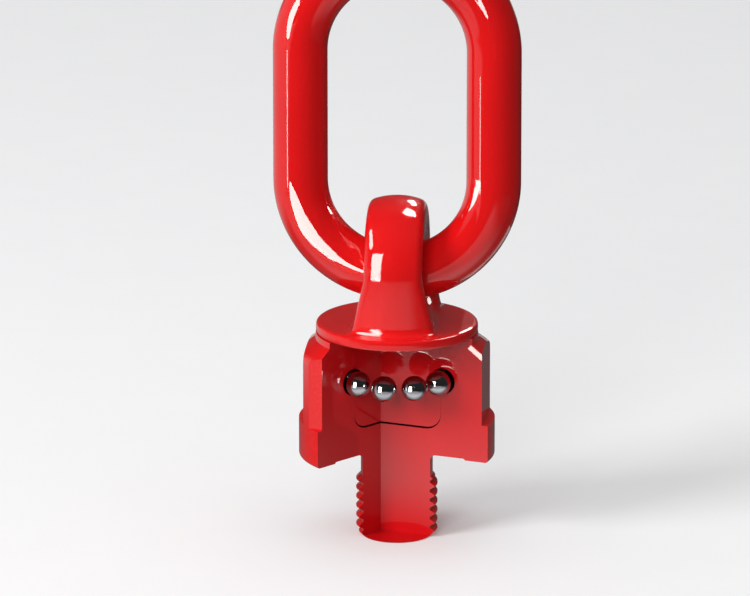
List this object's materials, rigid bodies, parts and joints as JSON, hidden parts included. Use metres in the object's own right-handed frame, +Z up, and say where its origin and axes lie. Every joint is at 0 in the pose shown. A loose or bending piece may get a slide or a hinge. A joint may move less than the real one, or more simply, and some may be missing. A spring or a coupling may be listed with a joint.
{
  "type": "swivel hoist ring",
  "caption": "Lifting point with a threaded stud, a wrench-sided housing, a ball-bearing swivel eye and a loose oval link for a hook.",
  "frame": {"origin": "centre of the seat under the collar, on the stud's axis", "axes": "+Z up along the stud's axis, from the stud towards the eye; the opening of the eye faces +X and -X, so the loop of the eye lies in the YZ plane and the link hangs in the XZ plane"},
  "size_m": [0.0906, 0.072, 0.2282],
  "materials": {
    "red_paint": "high-gloss red powder coat",
    "ball_steel": "polished hardened steel",
    "plug_steel": "black oxide"
  },
  "bodies": {
    "housing": {"housing": "red_paint", "filler_plug": "plug_steel"},
    "swivel_eye": {"swivel_eye": "red_paint"},
    "ball_set": {"ball_01": "ball_steel", "ball_02": "ball_steel", "ball_03": "ball_steel", "ball_04": "ball_steel", "ball_05": "ball_steel", "ball_06": "ball_steel", "ball_07": "ball_steel", "ball_08": "ball_steel", "ball_09": "ball_steel", "ball_10": "ball_steel"},
    "oval_link": {"oval_link": "red_paint"}
  },
  "joints": [
    {"name": "swivel_spin", "type": "hinge", "parent": "housing", "child": "swivel_eye", "pos_m": [0, 0, 0.0293], "axis": [0, 0, 1], "continuous": true},
    {"name": "ball_orbit", "type": "hinge", "parent": "housing", "child": "ball_set", "pos_m": [0, 0, 0.0293], "axis": [0, 0, 1], "continuous": true},
    {"name": "link_swing", "type": "hinge", "parent": "swivel_eye", "child": "oval_link", "pos_m": [0, 0, 0.0686], "axis": [1, 0, 0], "range_deg": [-119, 119]}
  ],
  "couplings": [
    {"joint": "ball_orbit", "follows": "swivel_spin", "ratio": 0.4064}
  ]
}
